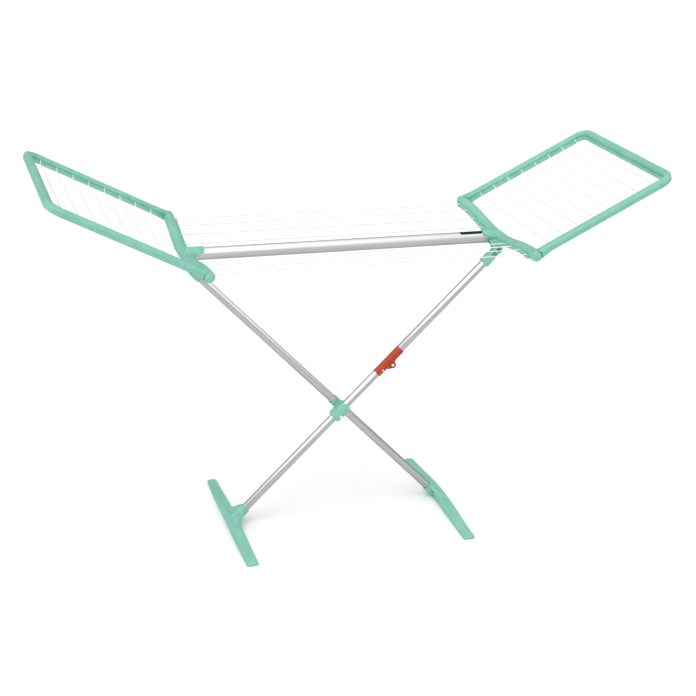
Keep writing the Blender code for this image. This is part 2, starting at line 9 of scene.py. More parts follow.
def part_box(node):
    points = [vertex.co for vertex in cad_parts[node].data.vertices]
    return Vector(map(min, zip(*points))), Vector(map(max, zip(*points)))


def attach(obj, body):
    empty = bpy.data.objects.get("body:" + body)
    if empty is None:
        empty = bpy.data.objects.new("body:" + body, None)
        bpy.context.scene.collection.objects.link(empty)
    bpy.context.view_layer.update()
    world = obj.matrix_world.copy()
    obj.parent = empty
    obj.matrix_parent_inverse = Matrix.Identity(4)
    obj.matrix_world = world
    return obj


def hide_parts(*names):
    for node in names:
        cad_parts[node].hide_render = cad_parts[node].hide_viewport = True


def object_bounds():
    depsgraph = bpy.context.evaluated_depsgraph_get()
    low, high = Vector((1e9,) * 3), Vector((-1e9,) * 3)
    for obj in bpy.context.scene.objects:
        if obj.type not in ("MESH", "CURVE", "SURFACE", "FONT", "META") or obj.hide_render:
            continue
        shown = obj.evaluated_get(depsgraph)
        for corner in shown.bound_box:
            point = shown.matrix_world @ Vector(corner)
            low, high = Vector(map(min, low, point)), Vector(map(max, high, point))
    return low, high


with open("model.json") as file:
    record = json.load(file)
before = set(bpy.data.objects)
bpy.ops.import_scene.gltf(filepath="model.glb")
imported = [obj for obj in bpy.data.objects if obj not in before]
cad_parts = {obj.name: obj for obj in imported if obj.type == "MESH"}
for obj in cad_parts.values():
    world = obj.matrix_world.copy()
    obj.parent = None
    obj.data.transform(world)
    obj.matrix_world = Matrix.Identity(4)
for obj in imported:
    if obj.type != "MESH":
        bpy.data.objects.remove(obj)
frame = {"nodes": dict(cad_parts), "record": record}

CAD_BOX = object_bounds()

RECORD = frame["record"]
BODY_OF = {node: body for body, nodes in RECORD["behaviour"]["bodies"].items() for node in nodes}
JOINTS = {joint["name"]: joint for joint in RECORD["behaviour"]["joints"]}

# ---- sizes, in metres: the frame's own places first, then the maker's ----
HALF_SPAN, _, HINGE_Z = JOINTS["right_wing_fold"]["pos_m"]
_, LEG_Y, PIVOT_Z = JOINTS["leg_a_fold"]["pos_m"]
BEAM_LOW, BEAM_HIGH = (Vector(corner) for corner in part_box("beam"))
BEAM_Z = (BEAM_LOW.z + BEAM_HIGH.z) / 2
BEAM_R = (BEAM_HIGH.z - BEAM_LOW.z) / 2
BEAM_WALL = 0.0014
GAP = 0.0003
MERGE_WITHIN = 0.000001

BAR_HALF = 0.2835        # half the crossbar's length, where the hinge caps begin
BAR_ARCH = 0.2780
BAR_RISE = HINGE_Z - BEAM_Z
BAR_BULGE = 0.009
BAR_WIDE = 0.034
BAR_TALL = 0.029
BAR_LIP = 0.0225
BAR_LIP_HIGH = -0.0018   # the lip's upper and lower edge, from the crossbar's centre line
BAR_LIP_LOW = -0.0145
LIP_NOTCH = (0.0120, 0.0040, 0.0200)
LIP_NOTCH_AT = (0.0205, 0, -0.0045)
BAR_STEPS = 36
HUB_SWELL = 0.16         # how much fuller the crossbar is at its hub, and over what length
HUB_REACH = 0.055
END_SWELL = 0.155        # how much taller it is at its ends, and from where on
END_FROM = 0.20
TONGUE_TIP = 0.050
SOCKET_R = BEAM_R + 0.0035
EAR_R = 0.0125
EAR_THICK = 0.004
EAR_OUT = 0.0115         # from the leg's plane to the middle of each ear
LEG_PIN_BORE_R = 0.0033
HINGE_BORE_R = 0.0043
CAP_R = 0.017
CAP_ROUND = 0.015
CAP_TIP = CAD_BOX[1][1]

WING_TILT = math.radians(26.9)
WING_REACH = 0.4845
RAIL_START = 0.012
RAIL_Y = 0.2955
RAIL_WIDE = 0.024
RAIL_TALL = 0.024
RAIL_LIFT = 0.002
RAIL_ROUND = 0.0095
RAIL_FOOT_ROUND = 0.004
RAIL_FLARE = 0.050       # how far from the hinge the rail starts to flare
FLARE_OUT = 0.007
FLARE_DOWN = 0.0016
CORNER_R = 0.036
LIP_REACH = 0.0075
LIP_TOP = -0.0015
WING_LINES = 8
WING_LINE_FIRST = 0.0640
WING_LINE_STEP = 0.0533
LINE_R = 0.0015
BEAD_R = 0.0021
BEAD_LONG = 0.0036
MAIN_LINE_IN = 0.016     # where a main line's bead sits, inward from the crossbar's centre line
MAIN_LINE_DROP = 0.0036
WING_LINE_LOW = -0.0058  # a wing line's height between the rails, and at its ends
WING_LINE_HIGH = 0.0006
WING_NOTCH = (0.0042, 0.0096, 0.0150)
LINE_HOLE = (0.0036, 0.0060, 0.0046)

LEG_R = 0.0125
LEG_WALL = 0.0012
LEG_START = 0.034
FITTING = (0.0290, 0.0290, 0.0400)
FITTING_TOP = -0.024
FITTING_EYE_R = 0.0125
FITTING_NECK = (0.0250, 0.0180, 0.0300)
FITTING_WINDOW = (0.0150, 0.0130, 0.0040)
CROSS_Z = 0.374
LEG_END_X = 0.350
KNEE_AT = 0.498
KNEE_STOP = 0.012        # how far from the knee's middle the two tubes stop
KNEE_OFFSET = 0.0175
KNEE_HALF = 0.055
KNEE_R = 0.0143
KNEE_SHIFT = 0.0011      # the knee's sleeve is thicker on its knuckle's side
KNUCKLE_R = 0.0108
KNEE_GAP = 0.0006
CHEEK_Y = 0.0088
CHEEK_THICK = 0.0044
KNEE_PIN_R = 0.005
CROSS_BLOCK = (0.0350, 0.0306, 0.0630)
CROSS_BLOCK_DOWN = 0.0095
CLIP_SLOT = (0.0130, 0.0076, 0.0270)
SCOOP_R = 0.0095
SLEEVE_R = 0.0151
LEG_SLOPE = math.atan2(PIVOT_Z - CROSS_Z, HALF_SPAN)
PIVOT_TO_CROSS = math.hypot(HALF_SPAN, PIVOT_Z - CROSS_Z)
PIVOT_TO_END = (HALF_SPAN + LEG_END_X) / math.cos(LEG_SLOPE)

FOOT_X = 0.3576
FOOT_HALF = 0.294
FOOT_WIDE = 0.038
FOOT_TALL = 0.018
FOOT_TIP = 0.010
FOOT_RISE = 0.008
FOOT_BOW = 0.003         # how far its middle bows outward
FOOT_FLAT = 0.052
FOOT_STEPS = 28
FOOT_SLIM = 0.16         # how much narrower its back end is
SOCKET_TOP_A = 0.036     # how far each foot's socket reaches up its leg, from the tube's end
SOCKET_TOP_B = 0.050
SOCKET_FLOOR = 0.006
SOCKET_WALL = 0.0045
WEB_THICK = 0.015
WEB_RECESS = -0.0255
WEB_RECESS_R = 0.008

ALONG = {"X": (0, math.pi / 2, 0), "Y": (math.pi / 2, 0, 0), "Z": (0, 0, 0)}
HALF_TURN = Matrix.Rotation(math.pi, 4, "Z")


# ---- hand tools: stock, picking, drawing out, cutting and joining ----
def clear_bench():
    if bpy.context.mode != "OBJECT":
        bpy.ops.object.mode_set(mode="OBJECT")
    bpy.ops.object.select_all(action="DESELECT")


def take(piece):
    clear_bench()
    piece.select_set(True)
    bpy.context.view_layer.objects.active = piece


def settle(name, size=None):
    """Name the stock that was just added, size it, and put its place in its mesh."""
    piece = bpy.context.object
    if size:
        piece.scale = size
    bpy.ops.object.transform_apply(location=True, rotation=True, scale=True)
    piece.name = name
    piece.data.name = name
    return piece


def block(name, size, place=(0, 0, 0), turn=(0, 0, 0)):
    clear_bench()
    bpy.ops.mesh.primitive_cube_add(size=1, location=place, rotation=turn, scale=size)
    return settle(name)


def round_bar(name, radius, length, place=(0, 0, 0), along="Z", sides=48, ends="NGON"):
    clear_bench()
    bpy.ops.mesh.primitive_cylinder_add(vertices=sides, radius=radius, depth=length, location=place,
                                        rotation=ALONG[along], end_fill_type=ends)
    return settle(name)


def open_up(piece):
    take(piece)
    bpy.ops.object.mode_set(mode="EDIT")


def pick(piece, test, kind="FACE"):
    """Select the faces, edges or corners whose middle and direction pass the test."""
    bpy.context.tool_settings.mesh_select_mode = (kind == "VERT", kind == "EDGE", kind == "FACE")
    bpy.ops.mesh.select_all(action="DESELECT")
    mesh = bmesh.from_edit_mesh(piece.data)
    mesh.normal_update()
    for item in {"VERT": mesh.verts, "EDGE": mesh.edges, "FACE": mesh.faces}[kind]:
        if kind == "VERT":
            middle, heading = item.co, item.normal
        elif kind == "EDGE":
            first, second = item.verts[0].co, item.verts[1].co
            middle, heading = (first + second) / 2, (second - first).normalized()
        else:
            middle, heading = item.calc_center_median(), item.normal
        if test(middle, heading):
            item.select_set(True)
    mesh.select_flush_mode()
    bmesh.update_edit_mesh(piece.data)


def draw_out(by):
    bpy.ops.mesh.extrude_region_move(TRANSFORM_OT_translate={"value": by})


def draw_edges(by):
    bpy.ops.mesh.extrude_edges_move(TRANSFORM_OT_translate={"value": by})


def push(by):
    bpy.ops.transform.translate(value=by)


def stretch(by, about):
    bpy.ops.transform.resize(value=by, center_override=about)


def score(place, normal):
    """Cut a line right round the open piece, without parting it."""
    bpy.ops.mesh.select_all(action="SELECT")
    bpy.ops.mesh.bisect(plane_co=place, plane_no=normal, use_fill=False)


def face_out():
    bpy.ops.mesh.select_all(action="SELECT")
    bpy.ops.mesh.remove_doubles(threshold=MERGE_WITHIN)
    bpy.ops.mesh.normals_make_consistent(inside=False)


def use(piece, kind, **settings):
    """Put a modifier on the piece and apply it."""
    take(piece)
    modifier = piece.modifiers.new(kind, kind)
    for key, value in settings.items():
        setattr(modifier, key, value)
    bpy.ops.object.modifier_apply(modifier=modifier.name)


def ease_edges(piece, width, segments=2, angle=50):
    use(piece, "BEVEL", width=width, segments=segments, limit_method="ANGLE",
        angle_limit=math.radians(angle), use_clamp_overlap=True)


def cut_away(piece, *tools):
    for tool in tools:
        use(piece, "BOOLEAN", operation="DIFFERENCE", solver="EXACT", object=tool)
        bpy.data.objects.remove(tool)


def weld_on(piece, *parts):
    for part in parts:
        use(piece, "BOOLEAN", operation="UNION", solver="EXACT", object=part)
        bpy.data.objects.remove(part)


def gather(pieces):
    """Lump separate pieces together as one."""
    clear_bench()
    for piece in pieces:
        piece.select_set(True)
    bpy.context.view_layer.objects.active = pieces[0]
    bpy.ops.object.join()
    return pieces[0]


def carry(piece, matrix):
    """Move a piece, and put the move in its mesh."""
    take(piece)
    piece.matrix_world = matrix @ piece.matrix_world
    bpy.ops.object.transform_apply(location=True, rotation=True, scale=True)


def copy_of(piece, name, matrix):
    take(piece)
    bpy.ops.object.duplicate()
    twin = bpy.context.object
    twin.name = name
    twin.data.name = name
    carry(twin, matrix)
    return twin


def row_of(tool, places):
    """Repeat a tool at each place, the first copy being the tool itself, as one lump."""
    copies = [copy_of(tool, tool.name, Matrix.Translation(place)) for place in places]
    bpy.data.objects.remove(tool)
    return gather(copies)


def plate(name, outline, thick, y=0.0):
    """A flat plate cut to an outline of (x, z) points, square to Y."""
    clear_bench()
    bpy.ops.mesh.primitive_circle_add(vertices=len(outline), radius=0.01, fill_type="NGON",
                                      rotation=ALONG["Y"])
    piece = settle(name)
    open_up(piece)
    bpy.context.tool_settings.mesh_select_mode = (True, False, False)
    for number, (x, z) in enumerate(outline):
        bpy.ops.mesh.select_all(action="DESELECT")
        mesh = bmesh.from_edit_mesh(piece.data)
        mesh.verts.ensure_lookup_table()
        corner = mesh.verts[number]
        corner.select_set(True)
        by = Vector((x, y - thick / 2, z)) - corner.co
        bmesh.update_edit_mesh(piece.data)
        push(by)
    bpy.ops.mesh.select_all(action="SELECT")
    draw_out((0, thick, 0))
    face_out()
    clear_bench()
    return piece


def arc(radius, start, end, steps, centre=(0, 0)):
    points = []
    for step in range(steps + 1):
        angle = math.radians(start + (end - start) * step / steps)
        points.append((centre[0] + radius * math.cos(angle), centre[1] + radius * math.sin(angle)))
    return points


def tube(name, radius, wall, length, place, along):
    """A drawn tube with eased rims."""
    piece = round_bar(name, radius, length, place, along, sides=64, ends="NOTHING")
    use(piece, "SOLIDIFY", thickness=wall, offset=-1)
    ease_edges(piece, 0.0003, angle=60)
    return piece


def turned_head(name, shank_r, head_r, length, head_long, place):
    """A pin along Y with a low domed head at its front end."""
    x, y, z = place
    piece = round_bar(name, shank_r, length, (x, y + length / 2, z), "Y", sides=32)
    open_up(piece)
    pick(piece, lambda at, heading: heading.y < -0.9)
    draw_out((0, 0, 0))
    stretch((head_r / shank_r, 1, head_r / shank_r), place)
    draw_out((0, -head_long, 0))
    bpy.ops.mesh.bevel(offset=head_long * 0.8, segments=4, affect="EDGES")
    face_out()
    clear_bench()
    return piece


def hand_over(piece, look, *nodes, angle=35):
    """Smooth and colour a finished piece, and let it stand for its CAD nodes."""
    take(piece)
    bpy.ops.object.shade_smooth_by_angle(angle=math.radians(angle))
    piece.data.materials.clear()
    piece.data.materials.append(look)
    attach(piece, BODY_OF[nodes[0]])
    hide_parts(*nodes)
    clear_bench()


# ---- finishes ----
def add_node(tree, kind, inputs=None, **settings):
    node = tree.nodes.new(kind)
    for key, value in settings.items():
        setattr(node, key, value)
    for key, value in (inputs or {}).items():
        if isinstance(value, bpy.types.NodeSocket):
            tree.links.new(value, node.inputs[key])
        else:
            node.inputs[key].default_value = value
    return node


def noise(tree, where, scale, detail=2.0, rough=0.5):
    return add_node(tree, "ShaderNodeTexNoise", {"Vector": where, "Scale": scale, "Detail": detail,
                                                 "Roughness": rough}).outputs["Fac"]


def reckoned(tree, operation, first, second):
    """One step of arithmetic on two values."""
    return add_node(tree, "ShaderNodeMath", {0: first, 1: second}, operation=operation).outputs[0]


def spread(tree, value, low, high, to_low=0.0, to_high=1.0):
    """Map low to high onto to_low to to_high, clamped."""
    return add_node(tree, "ShaderNodeMapRange", {"Value": value, "From Min": low, "From Max": high,
                                                 "To Min": to_low, "To Max": to_high}).outputs[0]


def mixed(tree, share, first, second):
    return add_node(tree, "ShaderNodeMix", {0: share, 6: first, 7: second}, data_type="RGBA").outputs[2]


def stretched(tree, where, scale, turn=(0, 0, 0)):
    return add_node(tree, "ShaderNodeMapping", {"Vector": where, "Scale": scale,
                                                "Rotation": turn}).outputs["Vector"]


def effect(name, inputs, outputs):
    """An empty node group with named inputs and outputs."""
    tree = bpy.data.node_groups.new(name, "ShaderNodeTree")
    for label, kind, start in inputs:
        socket = tree.interface.new_socket(label, in_out="INPUT", socket_type=kind)
        if start is not None:
            socket.default_value = start
    for label, kind in outputs:
        tree.interface.new_socket(label, in_out="OUTPUT", socket_type=kind)
    return tree, tree.nodes.new("NodeGroupInput").outputs, tree.nodes.new("NodeGroupOutput")


def moulded_grain():
    """Fine spark-erosion grain, slow flow marks, and a slow mottle of the colour."""
    tree, given, out = effect("moulded grain", [("Where", "NodeSocketVector", None),
                                                ("Grain per metre", "NodeSocketFloat", 1400.0)],
                              [("Height", "NodeSocketFloat"), ("Mottle", "NodeSocketFloat")])
    grain = noise(tree, given["Where"], given["Grain per metre"], 3.0, 0.6)
    flow = noise(tree, stretched(tree, given["Where"], (1, 0.35, 1)), 34.0, 3.0, 0.5)
    height = reckoned(tree, "ADD", grain, reckoned(tree, "MULTIPLY", flow, 1.6))
    tree.links.new(height, out.inputs["Height"])
    tree.links.new(spread(tree, flow, 0.32, 0.68), out.inputs["Mottle"])
    return tree


def edge_wear_and_shade():
    """Marks the outside edges, broken up where hands and floors have rubbed them; the red plastic uses the
    same mask for painted edge shade, a dark outline along its edges.
    """
    tree, given, out = effect("edge wear and shade", [("Where", "NodeSocketVector", None)],
                              [("Mask", "NodeSocketFloat")])
    rounded = add_node(tree, "ShaderNodeBevel", {"Radius": 0.0011}, samples=4).outputs["Normal"]
    flat = tree.nodes.new("ShaderNodeNewGeometry").outputs["Normal"]
    agree = add_node(tree, "ShaderNodeVectorMath", {0: rounded, 1: flat}, operation="DOT_PRODUCT")
    edge = spread(tree, agree.outputs["Value"], 0.995, 0.80)
    rubbed_and_shaded = spread(tree, noise(tree, given["Where"], 55.0, 4.0, 0.65), 0.38, 0.66)
    tree.links.new(reckoned(tree, "MULTIPLY", edge, rubbed_and_shaded), out.inputs["Mask"])
    return tree


def handling():
    """Smudges from hands, and thin dust on what faces up."""
    tree, given, out = effect("handling", [("Where", "NodeSocketVector", None)],
                              [("Smudge", "NodeSocketFloat"), ("Dust", "NodeSocketFloat")])
    smudge = spread(tree, noise(tree, given["Where"], 12.0, 4.0, 0.6), 0.42, 0.70)
    up = tree.nodes.new("ShaderNodeNewGeometry").outputs["Normal"]
    tilt = add_node(tree, "ShaderNodeSeparateXYZ", {"Vector": up}).outputs["Z"]
    specks = spread(tree, noise(tree, given["Where"], 210.0, 5.0, 0.7), 0.45, 0.85)
    dust = reckoned(tree, "MULTIPLY", spread(tree, tilt, 0.35, 1.0), specks)
    tree.links.new(smudge, out.inputs["Smudge"])
    tree.links.new(dust, out.inputs["Dust"])
    return tree


def draw_lines():
    """Long streaks that a die leaves along a drawn tube. Where runs along X."""
    tree, given, out = effect("draw lines", [("Where", "NodeSocketVector", None)],
                              [("Height", "NodeSocketFloat"), ("Tone", "NodeSocketFloat")])
    fine = noise(tree, stretched(tree, given["Where"], (0.012, 1, 1)), 1500.0, 2.0, 0.5)
    broad = noise(tree, stretched(tree, given["Where"], (0.02, 1, 1)), 240.0, 3.0, 0.5)
    tree.links.new(reckoned(tree, "ADD", fine, broad), out.inputs["Height"])
    tree.links.new(spread(tree, broad, 0.3, 0.7), out.inputs["Tone"])
    return tree


def cord_sheath():
    """A thin extruded sheath over a twisted core, which shows through as faint ripples."""
    tree, given, out = effect("cord sheath", [("Where", "NodeSocketVector", None)],
                              [("Height", "NodeSocketFloat"), ("Tone", "NodeSocketFloat")])
    ripple = noise(tree, given["Where"], 620.0, 2.0, 0.5)
    patches = noise(tree, given["Where"], 26.0, 3.0, 0.55)
    tree.links.new(ripple, out.inputs["Height"])
    tree.links.new(spread(tree, patches, 0.35, 0.7), out.inputs["Tone"])
    return tree


EFFECTS = {make.__name__: make() for make in (moulded_grain, edge_wear_and_shade, handling, draw_lines, cord_sheath)}


def start_finish(name, **plain):
    """A new material with its Principled shader, whose plain numbers are set on its own sockets."""
    finish = bpy.data.materials.new(name)
    finish.use_nodes = True
    tree = finish.node_tree
    shader = tree.nodes["Principled BSDF"]
    for key, value in plain.items():
        shader.inputs[key.replace("_", " ")].default_value = value
    where = tree.nodes.new("ShaderNodeTexCoord").outputs["Object"]
    return finish, tree, shader, where


def place_effect(tree, name, inputs):
    node = tree.nodes.new("ShaderNodeGroup")
    node.node_tree = EFFECTS[name]
    for key, value in inputs.items():
        if isinstance(value, bpy.types.NodeSocket):
            tree.links.new(value, node.inputs[key])
        else:
            node.inputs[key].default_value = value
    return node.outputs


def raise_bumps(tree, shader, height, strength, distance):
    bump = add_node(tree, "ShaderNodeBump", {"Height": height, "Strength": strength, "Distance": distance})
    tree.links.new(bump.outputs["Normal"], shader.inputs["Normal"])


def moulded_plastic(name, colour, deep, wear_and_shade_colour, rough, wear_and_shade_share=0.45):
    """Plastic that mottles from its colour to a deeper one, with a colour along its edges: worn edges on
    the mint, and painted edge shade, a dark outline, on the red. The last argument is that edge colour's
    share.
    """
    finish, tree, shader, where = start_finish(name, Specular_IOR_Level=0.35)
    grain = place_effect(tree, "moulded_grain", {"Where": where, "Grain per metre": 1500.0})
    edge_mask = place_effect(tree, "edge_wear_and_shade", {"Where": where})["Mask"]
    hands = place_effect(tree, "handling", {"Where": where})
    body = mixed(tree, grain["Mottle"], (*colour, 1), (*deep, 1))
    # The edge colour: real wear where it is lighter, as on the mint; painted edge shade where it is darker,
    # as on the red.
    rubbed_and_shaded = mixed(tree, reckoned(tree, "MULTIPLY", edge_mask, wear_and_shade_share), body, (*wear_and_shade_colour, 1))
    dusty = mixed(tree, reckoned(tree, "MULTIPLY", hands["Dust"], 0.10), rubbed_and_shaded, (0.70, 0.70, 0.66, 1))
    tree.links.new(dusty, shader.inputs["Base Color"])
    shine = spread(tree, hands["Smudge"], 0, 1, rough, rough - 0.09)
    tree.links.new(reckoned(tree, "ADD", shine, reckoned(tree, "MULTIPLY", hands["Dust"], 0.12)),
                   shader.inputs["Roughness"])
    raise_bumps(tree, shader, grain["Height"], 0.30, 0.00012)
    return finish


def drawn_tube(name, turn, shine, bright):
    """Drawn aluminium, with the die's streaks turned along the tube."""
    finish, tree, shader, where = start_finish(name, Metallic=1.0)
    shader.inputs["Specular Tint"].default_value = (0.25, 0.25, 0.25, 1)
    lines = place_effect(tree, "draw_lines", {"Where": stretched(tree, where, (1, 1, 1), (0, turn, 0))})
    hands = place_effect(tree, "handling", {"Where": where})
    metal = mixed(tree, lines["Tone"], (bright, bright, bright * 0.99, 1),
                  (bright * 0.90, bright * 0.90, bright * 0.89, 1))
    dull = mixed(tree, reckoned(tree, "MULTIPLY", hands["Smudge"], 0.30), metal, (0.72, 0.72, 0.71, 1))
    tree.links.new(dull, shader.inputs["Base Color"])
    rough = spread(tree, lines["Tone"], 0, 1, shine, shine + 0.08)
    tree.links.new(reckoned(tree, "ADD", rough, reckoned(tree, "MULTIPLY", hands["Smudge"], 0.06)),
                   shader.inputs["Roughness"])
    raise_bumps(tree, shader, lines["Height"], 0.25, 0.00006)
    return finish


def plated_steel(name, bright, dull, rough, metallic=1.0):
    """Plated metal that hands have dulled in patches, with bare edges."""
    finish, tree, shader, where = start_finish(name, Metallic=metallic)
    edge_mask = place_effect(tree, "edge_wear_and_shade", {"Where": where})["Mask"]
    hands = place_effect(tree, "handling", {"Where": where})
    metal = mixed(tree, hands["Smudge"], (*bright, 1), (*dull, 1))
    tree.links.new(mixed(tree, reckoned(tree, "MULTIPLY", edge_mask, 0.5), metal, (0.60, 0.60, 0.59, 1)),
                   shader.inputs["Base Color"])
    tree.links.new(spread(tree, hands["Smudge"], 0, 1, rough, rough + 0.14), shader.inputs["Roughness"])
    raise_bumps(tree, shader, noise(tree, where, 900.0, 3.0), 0.12, 0.00008)
    return finish


def white_cord():
    """The drying lines' white sheath."""
    finish, tree, shader, where = start_finish("white_cord", Specular_IOR_Level=0.4)
    sheath = place_effect(tree, "cord_sheath", {"Where": where})
    tree.links.new(mixed(tree, sheath["Tone"], (0.85, 0.85, 0.84, 1), (0.77, 0.77, 0.76, 1)),
                   shader.inputs["Base Color"])
    tree.links.new(spread(tree, sheath["Tone"], 0, 1, 0.36, 0.52), shader.inputs["Roughness"])
    raise_bumps(tree, shader, sheath["Height"], 0.35, 0.00018)
    return finish


def black_film():
    """The label's plain black film."""
    finish, tree, shader, where = start_finish("black_film", Specular_IOR_Level=0.1)
    grain = place_effect(tree, "moulded_grain", {"Where": where, "Grain per metre": 2600.0})
    hands = place_effect(tree, "handling", {"Where": where})
    ink = mixed(tree, grain["Mottle"], (0.004, 0.004, 0.004, 1), (0.009, 0.009, 0.009, 1))
    tree.links.new(mixed(tree, reckoned(tree, "MULTIPLY", hands["Dust"], 0.04), ink, (0.3, 0.3, 0.3, 1)),
                   shader.inputs["Base Color"])
    tree.links.new(spread(tree, hands["Smudge"], 0, 1, 0.34, 0.48), shader.inputs["Roughness"])
    raise_bumps(tree, shader, grain["Height"], 0.10, 0.00005)
    return finish


MINT = moulded_plastic("mint_plastic", (0.235, 0.560, 0.450), (0.195, 0.500, 0.400),
                       (0.42, 0.72, 0.63), 0.46)
# The red's edge colour is a dark red at a large share: painted edge shade, a dark outline along its edges,
# not wear.
RED = moulded_plastic("red_plastic", (0.500, 0.058, 0.018), (0.420, 0.045, 0.014),
                      (0.13, 0.010, 0.006), 0.42, wear_and_shade_share=0.90)
BEAM_METAL = drawn_tube("drawn_beam", 0, 0.42, 0.84)
LEG_A_METAL = drawn_tube("drawn_leg_a", -LEG_SLOPE, 0.24, 0.88)
LEG_B_METAL = drawn_tube("drawn_leg_b", LEG_SLOPE, 0.20, 0.88)
STEEL = plated_steel("dark_steel", (0.13, 0.13, 0.13), (0.08, 0.08, 0.08), 0.34)
PALE_STEEL = plated_steel("pale_zinc", (0.95, 0.86, 0.78), (0.88, 0.80, 0.73), 0.45, 0.25)
CORD = white_cord()
FILM = black_film()


# ---- beam and its label ----
def beam():
    length = BEAM_HIGH.x - BEAM_LOW.x
    piece = tube("beam_tube", BEAM_R, BEAM_WALL, length, (0, 0, BEAM_Z), "X")
    hand_over(piece, BEAM_METAL, "beam")


def beam_label():
    """The label's film keeps the CAD's shape."""
    film = frame["nodes"]["beam_label"]
    film.data.materials.clear()
    film.data.materials.append(FILM)


# ---- crossbars ----
def bar_centre(y):
    """The left crossbar's centre line: bowed outward, and rising to both ends."""
    share = min(abs(y) / BAR_ARCH, 1)
    x = -HALF_SPAN - BAR_BULGE * (1 - share ** 2)
    z = HINGE_Z - BAR_RISE * (1 + math.cos(math.pi * share)) / 2
    return Vector((x, y, z))


def bar_fullness(y):
    """How much wider and taller the crossbar is than its plain section: at its hub and its ends."""
    hub = HUB_SWELL * math.exp(-(y / HUB_REACH) ** 2)
    end = max(0, (abs(y) - END_FROM) / (BAR_HALF - END_FROM)) ** 2
    return 1 + hub, 1 + 0.5 * hub + END_SWELL * end


def main_line_ys():
    """Where the frame has its main lines, from side to side."""
    return [(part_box(f"main_line_{number}")[0][1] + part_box(f"main_line_{number}")[1][1]) / 2
            for number in range(1, 9)]


def bar_stock():
    """An oval section with an inner lip, drawn out step by step along the arch."""
    clear_bench()
    start = bar_centre(-BAR_HALF)
    wide, tall = bar_fullness(-BAR_HALF)
    bpy.ops.mesh.primitive_circle_add(vertices=32, radius=0.5, fill_type="NGON", location=start,
                                      rotation=ALONG["Y"])
    bar = settle("crossbar", (BAR_WIDE * wide, BAR_TALL * tall, 1))
    open_up(bar)
    pick(bar, lambda at, _: at.x > start.x + 0.008 and BAR_LIP_LOW < at.z - start.z < BAR_LIP_HIGH,
         "EDGE")
    draw_edges((0.0045, 0, 0))
    stretch((0, 1, 0.92), (start.x + BAR_LIP, start.y, start.z - 0.0075))
    bpy.ops.mesh.select_all(action="SELECT")
    here, full = start, (wide, tall)
    for step in range(1, BAR_STEPS + 1):
        y = BAR_HALF * (2 * step / BAR_STEPS - 1)
        there, next_full = bar_centre(y), bar_fullness(y)
        draw_out(there - here)
        stretch((next_full[0] / full[0], 1, next_full[1] / full[1]), there)
        here, full = there, next_full
    face_out()
    clear_bench()
    return bar


def tongue():
    """The beam's socket, trimmed to a tongue that lies over the beam and steps down to its root."""
    back = bar_centre(0).x + 0.002
    tip = -HALF_SPAN + TONGUE_TIP
    piece = round_bar("tongue", SOCKET_R, tip - back, ((tip + back) / 2, 0, BEAM_Z), "X", sides=64)
    edge = [(0.0505, 0.026), (0.0500, 0.0160), (0.0475, 0.0115), (0.0430, 0.0090), (0.0350, 0.0078),
            (0.0290, 0.0060), (0.0255, 0.0015), (0.0235, -0.0050), (0.0205, -0.0120), (0.0180, -0.026)]
    outline = [(x - HALF_SPAN, z + BEAM_Z) for x, z in edge + [(0.070, -0.026), (0.070, 0.026)]]
    cut_away(piece, plate("tongue_trim", outline, 0.060))
    return piece


def ear(name, y):
    """A plate that hangs under the crossbar and takes one end of the leg's pin."""
    low = arc(EAR_R, 180, 340, 12, (-HALF_SPAN, PIVOT_Z))
    outline = [(-HALF_SPAN + 0.034, PIVOT_Z + 0.036), (-HALF_SPAN - EAR_R, PIVOT_Z + 0.036)] + low
    piece = plate(name, outline + [(-HALF_SPAN + 0.026, PIVOT_Z + 0.018)], EAR_THICK, y)
    ease_edges(piece, 0.0006)
    return piece


def crossbars():
    """The left crossbar, and its twin turned round for the right."""
    bar = bar_stock()
    weld_on(bar, tongue(), ear("ear_back", LEG_Y + EAR_OUT), ear("ear_front", LEG_Y - EAR_OUT))
    notch = block("lip_notch", LIP_NOTCH, LIP_NOTCH_AT)
    notches = row_of(notch, [bar_centre(y) for y in main_line_ys()])
    beam_bore = round_bar("beam_bore", BEAM_R + GAP, 0.100, (-HALF_SPAN + 0.052, 0, BEAM_Z), "X", sides=64)
    pin_bore = round_bar("leg_pin_bore", LEG_PIN_BORE_R, 0.040, (-HALF_SPAN, LEG_Y, PIVOT_Z), "Y", sides=24)
    hinge_bores = [round_bar("hinge_bore", HINGE_BORE_R, 0.050, (-HALF_SPAN, y, HINGE_Z), "Y", sides=24)
                   for y in (-BAR_HALF, BAR_HALF)]
    cut_away(bar, notches, beam_bore, pin_bore, *hinge_bores)
    ease_edges(bar, 0.0005, angle=48)
    twin = copy_of(bar, "right_crossbar_moulding", HALF_TURN)
    bar.name = "left_crossbar_moulding"
    hand_over(bar, MINT, "crossbar_left")
    hand_over(twin, MINT, "crossbar_right")


# ---- main lines ----
def main_lines():
    """A cord that lies in the lips' notches, with a bead at each end."""
    for number, y in enumerate(main_line_ys(), 1):
        centre = bar_centre(y)
        middle = (0, y, centre.z - MAIN_LINE_DROP)
        end = centre.x + MAIN_LINE_IN
        piece = round_bar(f"main_cord_{number}", LINE_R, -2 * (end + 0.0038), middle, "X", sides=16)
        open_up(piece)
        for way in (-1, 1):
            pick(piece, lambda at, heading: way * heading.x > 0.9)
            draw_out((0, 0, 0))
            stretch((1, BEAD_R / LINE_R, BEAD_R / LINE_R), middle)
            draw_out((way * BEAD_LONG, 0, 0))
            bpy.ops.mesh.bevel(offset=0.0009, segments=2, affect="EDGES")
        face_out()
        clear_bench()
        hand_over(piece, CORD, f"main_line_{number}")


# ---- wings, modelled flat in the wing's own frame ----
def wing_place(side):
    turn = Matrix.Identity(4) if side > 0 else HALF_TURN
    return Matrix.Translation((side * HALF_SPAN, 0, HINGE_Z)) @ turn @ Matrix.Rotation(-WING_TILT, 4, "Y")


